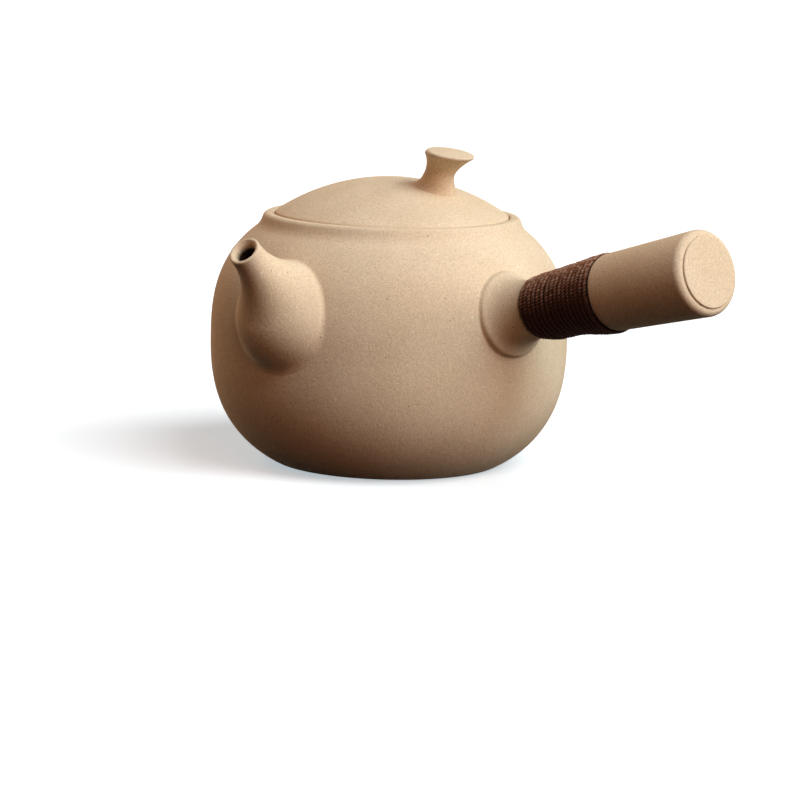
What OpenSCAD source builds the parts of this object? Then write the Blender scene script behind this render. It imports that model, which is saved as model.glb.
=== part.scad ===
// Side-handled clay tea kettle with a lift-off lid and a cord-bound handle.
// Millimetres. The base stands on Z = 0, the handle points along +Y and the spout about along +X.

/* [Pot] */
// Widest outside diameter of the pot
body_d = 132; // [120:1:150]
// Height of the widest level above the base
waist_h = 46.4; // [43:0.2:50]
// Diameter of the flat base
base_d = 84; // [74:1:94]
// Fullness of the side, where 2 is an ellipse
fullness = 2.55; // [2.3:0.05:2.9]
// Height of the rim above the base
rim_h = 91.6; // [88:0.2:98]
// Clay wall of the pot
wall = 4.5; // [3.6:0.1:5.6]
// Thickness of the pot's floor
floor_t = 5.5; // [4:0.1:8]

/* [Rim] */
// Inside diameter of the lip
lip_d = 86.8; // [80:0.2:92]
// Thickness of the lip
lip_t = 4.2; // [3.6:0.1:5]
// Height of the upright lip
lip_rise = 3.8; // [3:0.1:5]
// Width of the ledge that carries the lid
ledge_w = 3.9; // [3:0.1:5]
// Depth of that ledge below the top of the lip
ledge_drop = 3; // [2:0.1:4]

/* [Lid] */
// Gap between the lid's edge and the lip
lid_gap = 0.45; // [0.3:0.05:1]
// Height of the lid's upright edge
edge_h = 3.25; // [2:0.05:5]
// Rise of the dome above that edge
dome_rise = 13.4; // [9:0.1:20]
// Clay wall of the dome
lid_wall = 4; // [3:0.1:5.5]
// Depth of the tongue that drops into the mouth
tongue_depth = 9; // [5:0.5:14]
// Thickness of the tongue
tongue_t = 3.5; // [2.5:0.1:5]
// Gap between the tongue and the mouth
tongue_gap = 0.6; // [0.3:0.05:1.5]

/* [Knob] */
// Distance of the knob's foot from the lid's axis
knob_off = 19; // [8:0.1:22]
// Direction of the knob, turned from the spout
knob_turn = 95; // [0:1:359]
// Height of the knob above its foot
knob_h = 13.8; // [11:0.1:17]
// Lean of the knob away from the lid's axis
knob_lean = 32; // [0:1:38]
// Tilt of the knob's flat top
knob_tilt = 9; // [0:1:12]
// Diameter of the knob's foot
knob_foot_d = 18; // [15:0.1:21]
// Diameter of the knob's waist
knob_waist_d = 11.2; // [8:0.1:13]
// Height of the knob's waist above its foot
knob_waist_h = 5.8; // [4:0.1:7]
// Diameter of the knob's top
knob_top_d = 17.8; // [15:0.1:22]
// Thickness of the rounded rim of the top
knob_rim_t = 1.8; // [1.4:0.1:2.6]

/* [Spout] */
// Direction of the spout, turned towards the handle
spout_turn = 8.7; // [0:0.1:20]
// Diameter of the ball at the root of the spout
spout_ball_d = 40.8; // [37:0.1:45]
// How far the ball's centre lies inside the widest level
spout_inset = 10.1; // [8:0.1:12]
// Height of the ball's centre above the base
spout_h = 58.7; // [56:0.1:62]
// Slope of the spout
spout_tilt = 43.7; // [38:0.1:49]
// Length from the ball's centre to the mouth
spout_len = 37.7; // [34:0.1:42]
// Latitude at which the neck leaves the ball
neck_a = 41; // [34:1:46]
// Outward slope of the neck at the mouth
mouth_flare = 0.1; // [0:0.05:0.4]
// Outside diameter of the mouth
spout_mouth_d = 11.8; // [11:0.1:15]
// Clay wall of the ball
spout_wall = 3; // [2.4:0.1:3.6]
// Thickness of the lip at the mouth
spout_lip_t = 1.3; // [1:0.1:1.8]

/* [Strainer] */
// Diameter of the hole in the pot behind the spout
outlet_d = 18; // [14:0.5:20]
// Height at which that hole leaves the pot
outlet_h = 62; // [59:0.5:65]
// How far the strainer bulges into the pot
strainer_rise = 6; // [4:0.5:7]
// Clay wall of the strainer
strainer_t = 2.2; // [1.6:0.1:3]
// Diameter of each hole in the strainer
strainer_hole_d = 1.8; // [1.2:0.1:2.2]
// Spacing of those holes
strainer_pitch = 3.1; // [2.8:0.1:3.4]

/* [Handle] */
// Height at which the handle's axis meets the pot's axis
handle_h = 44.5; // [41:0.5:48]
// Upward slope of the handle
handle_tilt = 15.45; // [8:0.05:22]
// Diameter of the collar at the root
collar_d = 30.8; // [27:0.1:36]
// Rounding of the collar's edge
collar_round = 1.8; // [1.2:0.1:3]
// How far the collar laps back over the pot's side
collar_lap = 2.6; // [1.5:0.1:3.5]
// Length from the collar's front to the end of the neck
neck_len = 13; // [10:0.1:18]
// Diameter of the end of the neck
neck_d = 21.2; // [20:0.1:24]
// Bore of the hollow socket
socket_bore_d = 12; // [9:0.1:13]
// Length of the bound part of the socket
bound_len = 36.3; // [32:0.1:46]
// Diameter of the socket where the binding starts
bound_start_d = 18.4; // [17:0.1:20]
// Diameter of the socket where the binding ends
bound_end_d = 23.6; // [21:0.1:25]

/* [Grip] */
// Length of the grip
grip_len = 44; // [36:0.1:60]
// Diameter of the grip beside the binding
grip_start_d = 26.9; // [25:0.1:30]
// Diameter of the grip at its outer end
grip_end_d = 29.7; // [27:0.1:34]
// Length of the rounding at the outer end
grip_round_len = 2.6; // [1.5:0.1:5]
// Depth of that rounding
grip_round = 2.3; // [1.5:0.1:4]
// Bore of the hollow grip
grip_bore_d = 16.4; // [13:0.1:18]
// Length of the spigot that enters the socket
spigot_len = 24; // [14:0.5:30]
// Bore of the spigot
spigot_bore_d = 6; // [4:0.1:7]
// Height of the plug's disc above the grip's end
plug_head_t = 0.8; // [0.5:0.1:2]
// Margin of the grip's end face round the plug's disc
plug_margin = 0.2; // [0.1:0.1:0.6]
// Length of the plug's stem
plug_stem_len = 10; // [6:0.5:16]

/* [Binding] */
// Diameter of the cord
cord_d = 1.65; // [1.4:0.05:1.7]
// Number of turns
cord_turns = 16; // [10:1:16]
// Gap between the cord and what it is wound on
cord_gap = 0.2; // [0.15:0.05:0.4]

/* [Joints] */
// Gap of a luted or pushed joint between two pieces of clay
joint_gap = 0.15; // [0.1:0.05:0.3]

/* [Hidden] */
$fn = 96;
clay = "#b98f63";
clay_inner = "#a67f57";
cord_colour = "#4a2c22";

// Pot and rim
body_r = body_d / 2;
lip_r = lip_d / 2;
lip_out_r = lip_r + lip_t;
mouth_r = lip_r - ledge_w;
seat_z = rim_h - ledge_drop;
lip_z = rim_h - lip_rise;
power = 2 / fullness;
base_a = acos(pow(base_d / body_d, 1 / power));
lip_a = acos(pow(lip_out_r / body_r, 1 / power));
down_h = waist_h / pow(sin(base_a), power);
up_h = (lip_z - waist_h) / pow(sin(lip_a), power);
floor_a = asin(pow((waist_h - floor_t) / (down_h - wall), 1 / power));
mouth_a = acos(pow(mouth_r / (body_r - wall), 1 / power));
side_steps = 12;

// Lid
lid_r = lip_r - lid_gap;
tongue_r = mouth_r - tongue_gap;
tongue_in_r = tongue_r - tongue_t;
edge_z = seat_z + edge_h;
apex_z = edge_z + dome_rise;
dome_r = cap_radius(lid_r, dome_rise);
hollow_rise = edge_h + dome_rise - lid_wall;
hollow_r = cap_radius(tongue_in_r, hollow_rise);
dome_steps = 14;

// Knob
knob_sides = 36;
knob_flare_a = 40;
knob_foot_z = dome_z(knob_off);

// Spout and strainer
ball_r = spout_ball_d / 2;
ball_x = body_r - spout_inset;
spout_mouth_r = spout_mouth_d / 2;
ball_back_a = -42;
neck_pull = (spout_len - ball_r * sin(neck_a)) / 3;
spout_steps = 9;
outlet_r = outlet_d / 2;
strainer_r = outlet_r - joint_gap;
outlet_x = side_r(outlet_h);
outlet_tilt = atan(side_r(outlet_h - 0.5) - side_r(outlet_h + 0.5));
strainer_seat = wall / 2;
strainer_rings = 2;

// Handle, counted along its own axis from the pot's axis
collar_r = collar_d / 2;
flare_a = 50;
root_s = body_r / cos(handle_tilt) - collar_lap;
collar_s = root_s + collar_round;
bound_s = collar_s + neck_len;
shoulder_s = bound_s + bound_len;
end_s = shoulder_s + grip_len;
socket_in_s = root_s - collar_d;
neck_r = neck_d / 2;
socket_bore_r = socket_bore_d / 2;
bound_start_r = bound_start_d / 2;
bound_end_r = bound_end_d / 2;
grip_start_r = grip_start_d / 2;
grip_end_r = grip_end_d / 2;
grip_edge_round = 0.8;
grip_bore_r = grip_bore_d / 2;
grip_face_r = grip_end_r - grip_round;
spigot_r = socket_bore_r - joint_gap;
spigot_bore_r = spigot_bore_d / 2;
plug_r = grip_face_r - plug_margin;
plug_stem_r = grip_bore_r - joint_gap;
grip_floor_s = shoulder_s + grip_bore_r;
round_steps = 6;

// Binding
cord_r = cord_d / 2;
cord_rings = 24;
cord_sides = 6;
cord_start_s = bound_s + cord_gap + cord_r;
cord_end_s = shoulder_s - cord_gap - cord_r;
cord_pitch = (cord_end_s - cord_start_s) / cord_turns;
cord_count = cord_turns * cord_rings;
cord_points = [for (i = [0 : cord_count]) cord_at(i)];
cord_tangents = [for (i = [0 : cord_count]) cord_tangent(i)];
cord_path = concat([cord_points[0] - cord_d * cord_tangents[0]], cord_points,
                   [cord_points[cord_count] + cord_d * cord_tangents[cord_count]]);
cord_least_gap = min([for (i = [0 : cord_count - cord_rings])
                      for (k = [-2 : 2]) let (j = min(i + cord_rings + k, cord_count))
                      norm(cord_points[j] - cord_points[i])]) - cord_d;
echo(str("least gap between turns of the binding: ", cord_least_gap, " mm"));

// Radius of the sphere whose cap is this wide and this high
function cap_radius(r, rise) = (r * r + rise * rise) / (2 * rise);

// Point of the pot's rounded side, at an angle that runs from the waist
function side_point(r, h, a) = [r * pow(cos(a), power), waist_h + sign(a) * h * pow(sin(abs(a)), power)];

// Row of points along the side, grown outwards or drawn in by a wall
function side(from, to, grow) =
    [for (i = [0 : side_steps]) let (a = from + (to - from) * i / side_steps)
     side_point(body_r + grow, (a < 0 ? down_h : up_h) + grow, a)];

// Outside radius of the pot at a height above the waist
function side_r(z) = body_r * pow(1 - pow((z - waist_h) / up_h, fullness), 1 / fullness);

// Height of the dome's outside at a distance from the lid's axis
function dome_z(r) = apex_z - dome_r + sqrt(dome_r * dome_r - r * r);

// Point on a cubic curve
function curve(a, b, c, d, u) =
    pow(1 - u, 3) * a + 3 * pow(1 - u, 2) * u * b + 3 * (1 - u) * u * u * c + pow(u, 3) * d;

// Row of points along a cubic curve, without its first point
function curve_row(a, b, c, d, steps) = [for (i = [1 : steps]) curve(a, b, c, d, i / steps)];

// Row of points along an elliptic arc
function arc_row(centre, rx, ry, from, to, steps) =
    [for (i = [0 : steps]) let (a = from + (to - from) * i / steps)
     centre + [rx * cos(a), ry * sin(a)]];

// Row of points in the opposite order
function flip(row) = [for (i = [len(row) - 1 : -1 : 0]) row[i]];

// Radius of the bound part of the socket at a distance along the handle
function bound_r(s) = bound_start_r + (bound_end_r - bound_start_r) * (s - bound_s) / bound_len;

// Centre of the cord after a number of rings
function cord_at(i) =
    let (s = cord_start_s + cord_pitch * i / cord_rings)
    let (r = bound_r(s) + cord_gap + cord_r)
    let (a = 360 * i / cord_rings)
    [r * cos(a), r * sin(a), s];

// Direction of the cord at a ring
function cord_tangent(i) =
    let (step = cord_at(i + 0.5) - cord_at(i - 0.5))
    step / norm(step);

// Direction of the cord at each point of its path, with straight ends
function path_tangent(i) = cord_tangents[max(0, min(cord_count, i - 1))];

// Ring of points round the cord
function cord_ring(i) =
    let (t = path_tangent(i))
    let (a = 360 * max(0, min(cord_count, i - 1)) / cord_rings)
    let (side_way = cross([cos(a), sin(a), 0], t))
    let (n = side_way / norm(side_way))
    let (m = cross(t, n))
    [for (k = [0 : cord_sides - 1]) let (b = 360 * k / cord_sides)
     cord_path[i] + cord_r * (cos(b) * n + sin(b) * m)];

// Faces round a skin made of rings of points
function skin_faces(rings, sides) =
    [for (i = [0 : rings - 2]) for (k = [0 : sides - 1])
     let (p = i * sides + k)
     let (q = i * sides + (k + 1) % sides)
     each [[p, q, p + sides], [q, q + sides, p + sides]]];

// Faces that close both ends of such a skin
function end_faces(rings, sides) =
    let (last = (rings - 1) * sides)
    [for (k = [1 : sides - 2]) each [[0, k + 1, k], [last, last + k, last + k + 1]]];

// Faces that close both ends of such a skin round two middle points listed after the rings
function fan_faces(rings, sides) =
    let (last = (rings - 1) * sides)
    let (middle = rings * sides)
    [for (k = [0 : sides - 1]) let (next = (k + 1) % sides)
     each [[middle, next, k], [middle + 1, last + k, last + next]]];

// Solid inside of the pot's outer face, grown by a joint
module pot_form(grow) {
    rotate_extrude()
        polygon(concat([[0, -grow]], side(-base_a, 0, grow), side(0, lip_a, grow),
                       [[lip_out_r + grow, rim_h], [0, rim_h]]));
}

// Placed with +Z along the spout, from the centre of its ball
module along_spout() {
    rotate([0, 0, spout_turn])
        translate([ball_x, 0, spout_h])
            rotate([0, 90 - spout_tilt, 0])
                children();
}

// Placed with +Z out of the hole behind the spout, from the pot's outer face
module along_outlet() {
    rotate([0, 0, spout_turn])
        translate([outlet_x, 0, outlet_h])
            rotate([0, 90 - outlet_tilt, 0])
                children();
}

// Placed with +Z along the handle, from the pot's axis
module along_handle() {
    translate([0, 0, handle_h])
        rotate([handle_tilt - 90, 0, 0])
            children();
}

module pot_body() {
    lip_round = lip_t / 2;
    outside = concat(side(-base_a, 0, 0), side(0, lip_a, 0));
    lip = arc_row([lip_r + lip_round, rim_h - lip_round], lip_round, lip_round, 0, 180, 2 * round_steps);
    ledge = [[lip_r, seat_z], [mouth_r, seat_z]];
    inside = flip(concat(side(-floor_a, 0, -wall), side(0, mouth_a, -wall)));
    color(clay)
        difference() {
            rotate_extrude()
                polygon(concat([[0, 0]], outside, lip, ledge, inside, [[0, floor_t]]));
            along_outlet()
                translate([0, 0, -3 * wall])
                    cylinder(r = outlet_r, h = 4 * wall);
        }
}

module spout() {
    root = ball_r * [cos(neck_a), sin(neck_a)];
    mouth = [spout_mouth_r, spout_len];
    ball = arc_row([0, 0], ball_r, ball_r, ball_back_a, neck_a, spout_steps);
    neck = curve_row(root, root + neck_pull * [-tan(neck_a), 1],
                     mouth - neck_pull * [mouth_flare, 1], mouth, spout_steps);
    ball_channel = [for (p = ball) p - [spout_wall, 0]];
    neck_channel = [for (i = [0 : spout_steps - 1])
                    neck[i] - [spout_wall + (spout_lip_t - spout_wall) * (i + 1) / spout_steps, 0]];
    color(clay)
        difference() {
            along_spout()
                rotate_extrude()
                    polygon(concat(ball, neck, flip(concat(ball_channel, neck_channel))));
            pot_form(joint_gap);
        }
}

// Row of points over a cap that bulges down from a level, from its edge to its lowest point
function cap_row(r, rise) =
    let (big_r = cap_radius(r, rise))
    let (edge_a = asin(r / big_r))
    [for (i = [1 : round_steps]) let (a = edge_a * (1 - i / round_steps))
     [big_r * sin(a), big_r - rise - big_r * cos(a)]];

module spout_strainer() {
    in_r = strainer_r - strainer_t;
    color(clay_inner)
        along_outlet()
            translate([0, 0, -wall])
                difference() {
                    rotate_extrude()
                        polygon(concat(
                            [[in_r, strainer_seat], [strainer_r, strainer_seat], [strainer_r, 0]],
                            cap_row(strainer_r, strainer_rise),
                            flip(cap_row(in_r, strainer_rise - strainer_t)),
                            [[in_r, 0]]));
                    strainer_holes();
                }
}

// Holes of the strainer, one in the middle and the rest in rings
module strainer_holes() {
    for (ring = [0 : strainer_rings])
        for (k = [0 : max(0, 6 * ring - 1)])
            rotate([0, 0, 60 * k / max(1, ring)])
                translate([ring * strainer_pitch, 0, -strainer_rise - strainer_t])
                    cylinder(d = strainer_hole_d, h = strainer_rise + 2 * strainer_t, $fn = 24);
}

module handle_socket() {
    edge = [collar_r - collar_round, root_s];
    front = edge + collar_round * [cos(flare_a), sin(flare_a)];
    neck_end = [neck_r, bound_s];
    pull = neck_len / 2;
    color(clay)
        difference() {
            along_handle()
                rotate_extrude()
                    polygon(concat(
                        [[socket_bore_r, socket_in_s], [collar_r, socket_in_s]],
                        arc_row(edge, collar_round, collar_round, 0, flare_a, round_steps),
                        curve_row(front, front + pull * [-sin(flare_a), cos(flare_a)] / 2,
                                  neck_end - [0, pull], neck_end, round_steps),
                        [[bound_start_r, bound_s], [bound_end_r, shoulder_s], [socket_bore_r, shoulder_s]]));
            pot_form(joint_gap);
        }
}

module handle_grip() {
    color(clay)
        along_handle()
            rotate_extrude()
                polygon(concat(
                    [[spigot_bore_r, shoulder_s - spigot_len], [spigot_r, shoulder_s - spigot_len],
                     [spigot_r, shoulder_s]],
                    arc_row([grip_start_r - grip_edge_round, shoulder_s + grip_edge_round],
                            grip_edge_round, grip_edge_round, -90, 0, round_steps),
                    arc_row([grip_face_r, end_s - grip_round_len], grip_round, grip_round_len, 0, 90,
                            2 * round_steps),
                    [[grip_bore_r, end_s], [grip_bore_r, grip_floor_s],
                     [spigot_bore_r, grip_floor_s - grip_bore_r + spigot_bore_r]]));
}

module handle_end_plug() {
    round_r = plug_head_t / 2;
    color(clay)
        along_handle()
            rotate_extrude()
                polygon(concat(
                    [[0, end_s - plug_stem_len], [plug_stem_r, end_s - plug_stem_len],
                     [plug_stem_r, end_s], [plug_r, end_s]],
                    arc_row([plug_r - round_r, end_s + plug_head_t - round_r], round_r, round_r, 0, 90,
                            round_steps),
                    [[0, end_s + plug_head_t]]));
}

module cord_binding() {
    rings = cord_count + 3;
    color(cord_colour)
        along_handle()
            polyhedron([for (i = [0 : rings - 1]) each cord_ring(i)],
                       concat(skin_faces(rings, cord_sides), end_faces(rings, cord_sides)));
}

module lid_dome() {
    edge_a = asin(lid_r / dome_r);
    hollow_a = asin(tongue_in_r / hollow_r);
    color(clay)
        rotate_extrude()
            polygon(concat(
                [[lid_r, seat_z]],
                [for (i = [0 : dome_steps]) let (a = edge_a * (1 - i / dome_steps))
                 [dome_r * sin(a), apex_z - dome_r + dome_r * cos(a)]],
                [for (i = [0 : dome_steps]) let (a = hollow_a * i / dome_steps)
                 [hollow_r * sin(a), seat_z + hollow_rise - hollow_r + hollow_r * cos(a)]]));
}

module lid_tongue() {
    color(clay_inner)
        rotate_extrude()
            polygon([[tongue_in_r, seat_z], [tongue_in_r, seat_z - tongue_depth],
                     [tongue_r - tongue_t / 4, seat_z - tongue_depth],
                     [tongue_r, seat_z - tongue_depth + tongue_t / 4], [tongue_r, seat_z]]);
}

// Outline of the knob as radius and height, from its foot to its top
function knob_outline() =
    let (foot = [knob_foot_d / 2, 0])
    let (waist = [knob_waist_d / 2, knob_waist_h])
    let (round_r = knob_rim_t / 2)
    let (rim = [knob_top_d / 2 - round_r, knob_h - round_r])
    let (under = rim + round_r * [cos(knob_flare_a), -sin(knob_flare_a)])
    let (pull = (under[1] - knob_waist_h) / 3)
    concat([foot],
           curve_row(foot, [waist[0], knob_waist_h / 5], waist - [0, knob_waist_h / 3], waist, round_steps),
           curve_row(waist, waist + [0, pull], under - pull * [tan(knob_flare_a), 1], under, round_steps),
           arc_row(rim, round_r, round_r, -knob_flare_a / 2, 90, round_steps));

// Point of the knob before it is turned to its direction
function knob_point(r, h, a) =
    let (along = knob_off + h * tan(knob_lean) + r * cos(a) * cos(knob_tilt))
    let (across = r * sin(a))
    let (level = knob_foot_z + h - r * cos(a) * sin(knob_tilt))
    [along, across, h == 0 ? dome_z(norm([along, across])) + joint_gap : level];

module lid_knob() {
    outline = knob_outline();
    rings = len(outline);
    skin = [for (p = outline) for (k = [0 : knob_sides - 1]) knob_point(p[0], p[1], 360 * k / knob_sides)];
    middles = [[knob_off, 0, knob_foot_z + joint_gap], knob_point(0, knob_h, 0)];
    color(clay)
        rotate([0, 0, knob_turn])
            polyhedron(concat(skin, middles),
                       concat(skin_faces(rings, knob_sides), fan_faces(rings, knob_sides)));
}

pot_body();
spout();
spout_strainer();
handle_socket();
handle_grip();
handle_end_plug();
cord_binding();
lid_dome();
lid_tongue();
lid_knob();
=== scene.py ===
import math

import bmesh
import bpy
import numpy as np
from mathutils import Matrix, Vector


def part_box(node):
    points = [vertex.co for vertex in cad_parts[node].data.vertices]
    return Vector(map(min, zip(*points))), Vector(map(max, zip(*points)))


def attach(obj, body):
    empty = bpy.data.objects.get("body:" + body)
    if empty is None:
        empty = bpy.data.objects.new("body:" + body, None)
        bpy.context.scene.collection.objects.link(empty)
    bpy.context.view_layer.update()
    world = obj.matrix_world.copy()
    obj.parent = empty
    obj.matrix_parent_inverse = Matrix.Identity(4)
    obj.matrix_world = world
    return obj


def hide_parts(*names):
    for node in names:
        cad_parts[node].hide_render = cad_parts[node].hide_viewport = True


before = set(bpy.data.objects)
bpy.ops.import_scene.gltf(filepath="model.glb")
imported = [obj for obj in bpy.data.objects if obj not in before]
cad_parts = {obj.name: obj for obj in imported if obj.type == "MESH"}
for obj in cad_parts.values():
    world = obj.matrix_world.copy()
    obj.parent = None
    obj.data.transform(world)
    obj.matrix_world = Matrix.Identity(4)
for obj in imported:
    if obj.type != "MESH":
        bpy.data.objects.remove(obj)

# Side-handled clay tea kettle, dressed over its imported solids.
# Sizes are millimetres in the frame of the solids, and meshes are written in metres.
MM = 0.001
TURN = 2 * math.pi
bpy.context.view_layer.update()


def node_box(node):
    """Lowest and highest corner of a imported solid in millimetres."""
    low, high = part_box(node)
    return np.array(low) / MM, np.array(high) / MM


# Pot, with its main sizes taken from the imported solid
POT_HIGH = node_box("pot_body")[1]
BODY_R = POT_HIGH[0]
RIM_Z = POT_HIGH[2]
WAIST_Z = 46.4
BASE_R = 42.0
BASE_ROUND = 1.6
FULLNESS = 2.55
WALL = 4.5
FLOOR_T = 5.5
SIDE_TOP_R = 47.6
SIDE_TOP_Z = RIM_Z - 3.8
LIP_R = 43.4
LIP_TOP_R = 47.0
LIP_FOOT_Z = RIM_Z - 4.5
LIP_ROUND = 1.9
LIP_INNER_ROUND = 0.8
LIP_FOOT_ROUND = 7.0
LEDGE_W = 3.9
SEAT_ROUND = 0.5
MOUTH_R = LIP_R - LEDGE_W
MOUTH_ROUND = 0.7
INNER_TOP_Z = 78.0
FLOOR_RISE = 6.0
FLOOR_RUN = 5.0
FLOOR_ROUND = 7.0
BASE_RUN_Z = 6.0
CUT_CREASE = math.radians(40)

# Lid
DOME_LOW, DOME_HIGH = node_box("lid_dome")
TONGUE_LOW, TONGUE_HIGH = node_box("lid_tongue")
LID_R = DOME_HIGH[0]
SEAT_Z = DOME_LOW[2]
APEX_Z = DOME_HIGH[2]
EDGE_H = 3.25
EDGE_ROUND = 1.1
EDGE_LOW_ROUND = 0.5
LID_WALL = 4.0
TONGUE_R = TONGUE_HIGH[0]
TONGUE_T = 3.5
TONGUE_Z = TONGUE_LOW[2]
TONGUE_ROUND = 1.2
TONGUE_SEAM = 1.0
EDGE_Z = SEAT_Z + EDGE_H
DOME_R = (LID_R ** 2 + (APEX_Z - EDGE_Z) ** 2) / (2 * (APEX_Z - EDGE_Z))
DOME_CENTRE = np.array([0, 0, APEX_Z - DOME_R])
# Angle in degrees at which the dome's outlines start or end, just beside the lid's axis
DOME_START = 89.4

# Knob
KNOB_OFF = 19.0
KNOB_TURN = math.radians(95)
KNOB_H = 13.7
KNOB_LEAN = math.radians(32.5)
KNOB_TILT = math.radians(9.4)
KNOB_FOOT_R = 7.8
KNOB_FOOT_T = 0.4
KNOB_FOOT_SIDE = 2.0
KNOB_WAIST_R = 5.6
KNOB_WAIST_H = 5.8
KNOB_TOP_R = 8.9
KNOB_RIM_R = 0.85
KNOB_CROWN = 0.35
KNOB_CROWN_SHARE = 0.75
KNOB_TIP_R = 0.3
KNOB_UNDERCUT = 45
KNOB_RIM_PULL = 1.7
KNOB_WAIST_PULL_UP = 2.0
KNOB_WAIST_PULL_DOWN = 1.8
KNOB_FOOT_PULL_OUT = 0.7
KNOB_FOOT_PULL_UP = 2.0
KNOB_ROOT_LEN = 6.0
KNOB_ROOT_SLOPE = 0.1
KNOB_FILLET = 0.4

# Spout: a ball, then a waisted neck, turned towards the handle
SPOUT_TURN = math.radians(8.7)
BALL_R = 20.4
BALL_RHO = 55.9
BALL_Z = 58.7
SPOUT_TILT = math.radians(43.7)
SPOUT_LEN = 37.7
NECK_FROM = 13.33
SPOUT_MOUTH_R = 5.85
SPOUT_FLARE = 0.07
SPOUT_WALL = 3.0
SPOUT_LIP_T = 1.4
SPOUT_LIP_LEN = 8.0
# Depth into the spout's bore at which painted shade starts, and the depth over which it grows to full
BORE_SHADE_FROM = 0.7
BORE_SHADE_LEN = 2.0
SPOUT_FILLET_TOP = 0.7
SPOUT_FILLET_LOW = 2.6
FILLET_TOP_Z = 64.0
FILLET_LOW_Z = 45.0
SPOUT_SKIRT = 1.3 * SPOUT_FILLET_LOW
SPOUT_ROOT_T = -0.9 * BALL_R
CHANNEL_END = -WALL / 4

# Hole behind the spout, square to the pot's side
OUTLET_R = 9.0
OUTLET_Z = 62.0
OUTLET_DEPTH = 3 * WALL

# Handle, counted along its own axis from the pot's axis
HANDLE_Z = 44.5
HANDLE_TILT = math.radians(15.45)
COLLAR_R = 15.4
COLLAR_ROUND = 1.8
COLLAR_LAP = 2.6
COLLAR_FLARE = 50
ROOT_S = BODY_R / math.cos(HANDLE_TILT) - COLLAR_LAP
COLLAR_S = ROOT_S + COLLAR_ROUND
NECK_LEN = 13.0
NECK_R = 10.6
NECK_ROUND = 0.9
COLLAR_FILLET = 0.8
COLLAR_DEPTH = 16.0
SOCKET_BORE_R = 6.0
SOCKET_BORE_DEPTH = 20.0
BOUND_S = COLLAR_S + NECK_LEN
BOUND_LEN = 36.3
BOUND_START_R = 9.05
BOUND_END_R = 11.7
SHOULDER_S = BOUND_S + BOUND_LEN
SOCKET_END_S = SHOULDER_S - 0.2
GRIP_LEN = 44.0
GRIP_START_R = 13.45
GRIP_END_R = 14.85
GRIP_EDGE_ROUND = 0.9
GRIP_ROUND = 2.3
GRIP_ROUND_LEN = 2.6
GRIP_BORE_R = 8.2
GRIP_BORE_EDGE = 0.3
GRIP_BORE_ROUND = 3.0
GRIP_FACE_W = 1.0
SPIGOT_R = 5.85
SPIGOT_ROUND = 0.8
SPIGOT_BORE_R = 3.0
SPIGOT_BORE_ROUND = 0.8
SPIGOT_LEN = 24.0
END_S = SHOULDER_S + GRIP_LEN
GRIP_FACE_R = GRIP_END_R - GRIP_ROUND
PLUG_R = GRIP_FACE_R - 0.15
PLUG_HEAD_T = 0.8
PLUG_ROUND = 0.5
PLUG_CROWN = 0.15
PLUG_GAP = 0.05
PLUG_UNDER_ROUND = 0.2
PLUG_STEM_R = 8.05
PLUG_STEM_LEN = 10.0
PLUG_STEM_ROUND = 0.8

# Binding
CORD_TURNS = 16
CORD_R = 1.14
CORD_PITCH = (BOUND_LEN - 2 * CORD_R) / (CORD_TURNS - 1)
CORD_STEP = 0.3
CORD_STRANDS = 3
CORD_LOBE = 0.14
CORD_CREST = 1.5
CORD_LAY_LEN = 3.3
CORD_TUCK = 0.07
CORD_RINGS = 300
CORD_SIDES = 18
SLEEVE_GAP = 0.5
# Share of the binding's length, and millimetres by which the hand-wound turns stand out there
CORD_SWELL = np.array([(0, -0.45), (0.07, 0.15), (0.2, 0.45), (0.35, 0.1), (0.5, -0.5), (0.65, -0.15),
                       (0.8, 0.3), (1, 0.55)])
# The swell's share all round, and how much more of it shows below than above
CORD_SWELL_EVEN = 0.55
CORD_SWELL_LOW = 0.45
# Small unevenness along the cord: height in millimetres, and waves in each turn of the winding
CORD_WAVES = ((0.06, 0.37), (0.05, 2.21))

# Fineness of the meshes: points round a piece, and rows or steps along its parts
SIDES = 192
ROOT_ROWS = 120
SKIRT_ROWS = 16
SIDE_ROWS = 60
SHOULDER_ROWS = 70
OUTLET_SIDES = 64
SPOUT_ROWS = 500
CHANNEL_ROWS = 60
LIP_STEPS = 10
COLLAR_STEPS = 12
NECK_EDGE_STEPS = 6
NECK_STEPS = 24
COLLAR_ROWS = 60
SOCKET_STEP = 0.2
SOCKET_BORE_STEPS = 200
SOCKET_BORE_ROWS = 20
GRIP_END_STEPS = 24
DOME_STEPS = 80
HOLLOW_STEPS = 50
KNOB_RIM_STEPS = 16
KNOB_CURVE_STEPS = 20
KNOB_ROOT_ROWS = 30
KNOB_STEP = 0.15
# Last rows of an outline that give way to the rounded edge after it
LIP_BLEND = 4
EDGE_BLEND = 4
# Rounds in which the height over the knob's foot is found
FOOT_ROUNDS = 8
# Radius at which an outline starts beside its axis, and the gap between two runs of an outline
TIP_R = 1.0
RUN_GAP = 0.5
# Depth to which the thin end of a fillet goes into its host
SINK = 0.05
# Least values that keep the fields from dividing by zero
LEAST_SLOPE = 0.05
TINY = 1e-6

# Camera, measured from the pot's axis
CAMERA_TURN = math.radians(46.64)
CAMERA_RISE = math.radians(9.65)
CAMERA_ROLL = math.radians(1.49)
CAMERA_AWAY = 1200.0
CAMERA_LENS = 145.19
CAMERA_SENSOR = 36.0
TARGET_RIGHT = 4.70
TARGET_Z = 22.18


def arc(centre, rx, ry, start, stop, steps):
    """Points along an elliptic arc, with its angles in degrees."""
    a = np.radians(np.linspace(start, stop, steps + 1))
    return np.stack([centre[0] + rx * np.cos(a), centre[1] + ry * np.sin(a)], 1)


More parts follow.
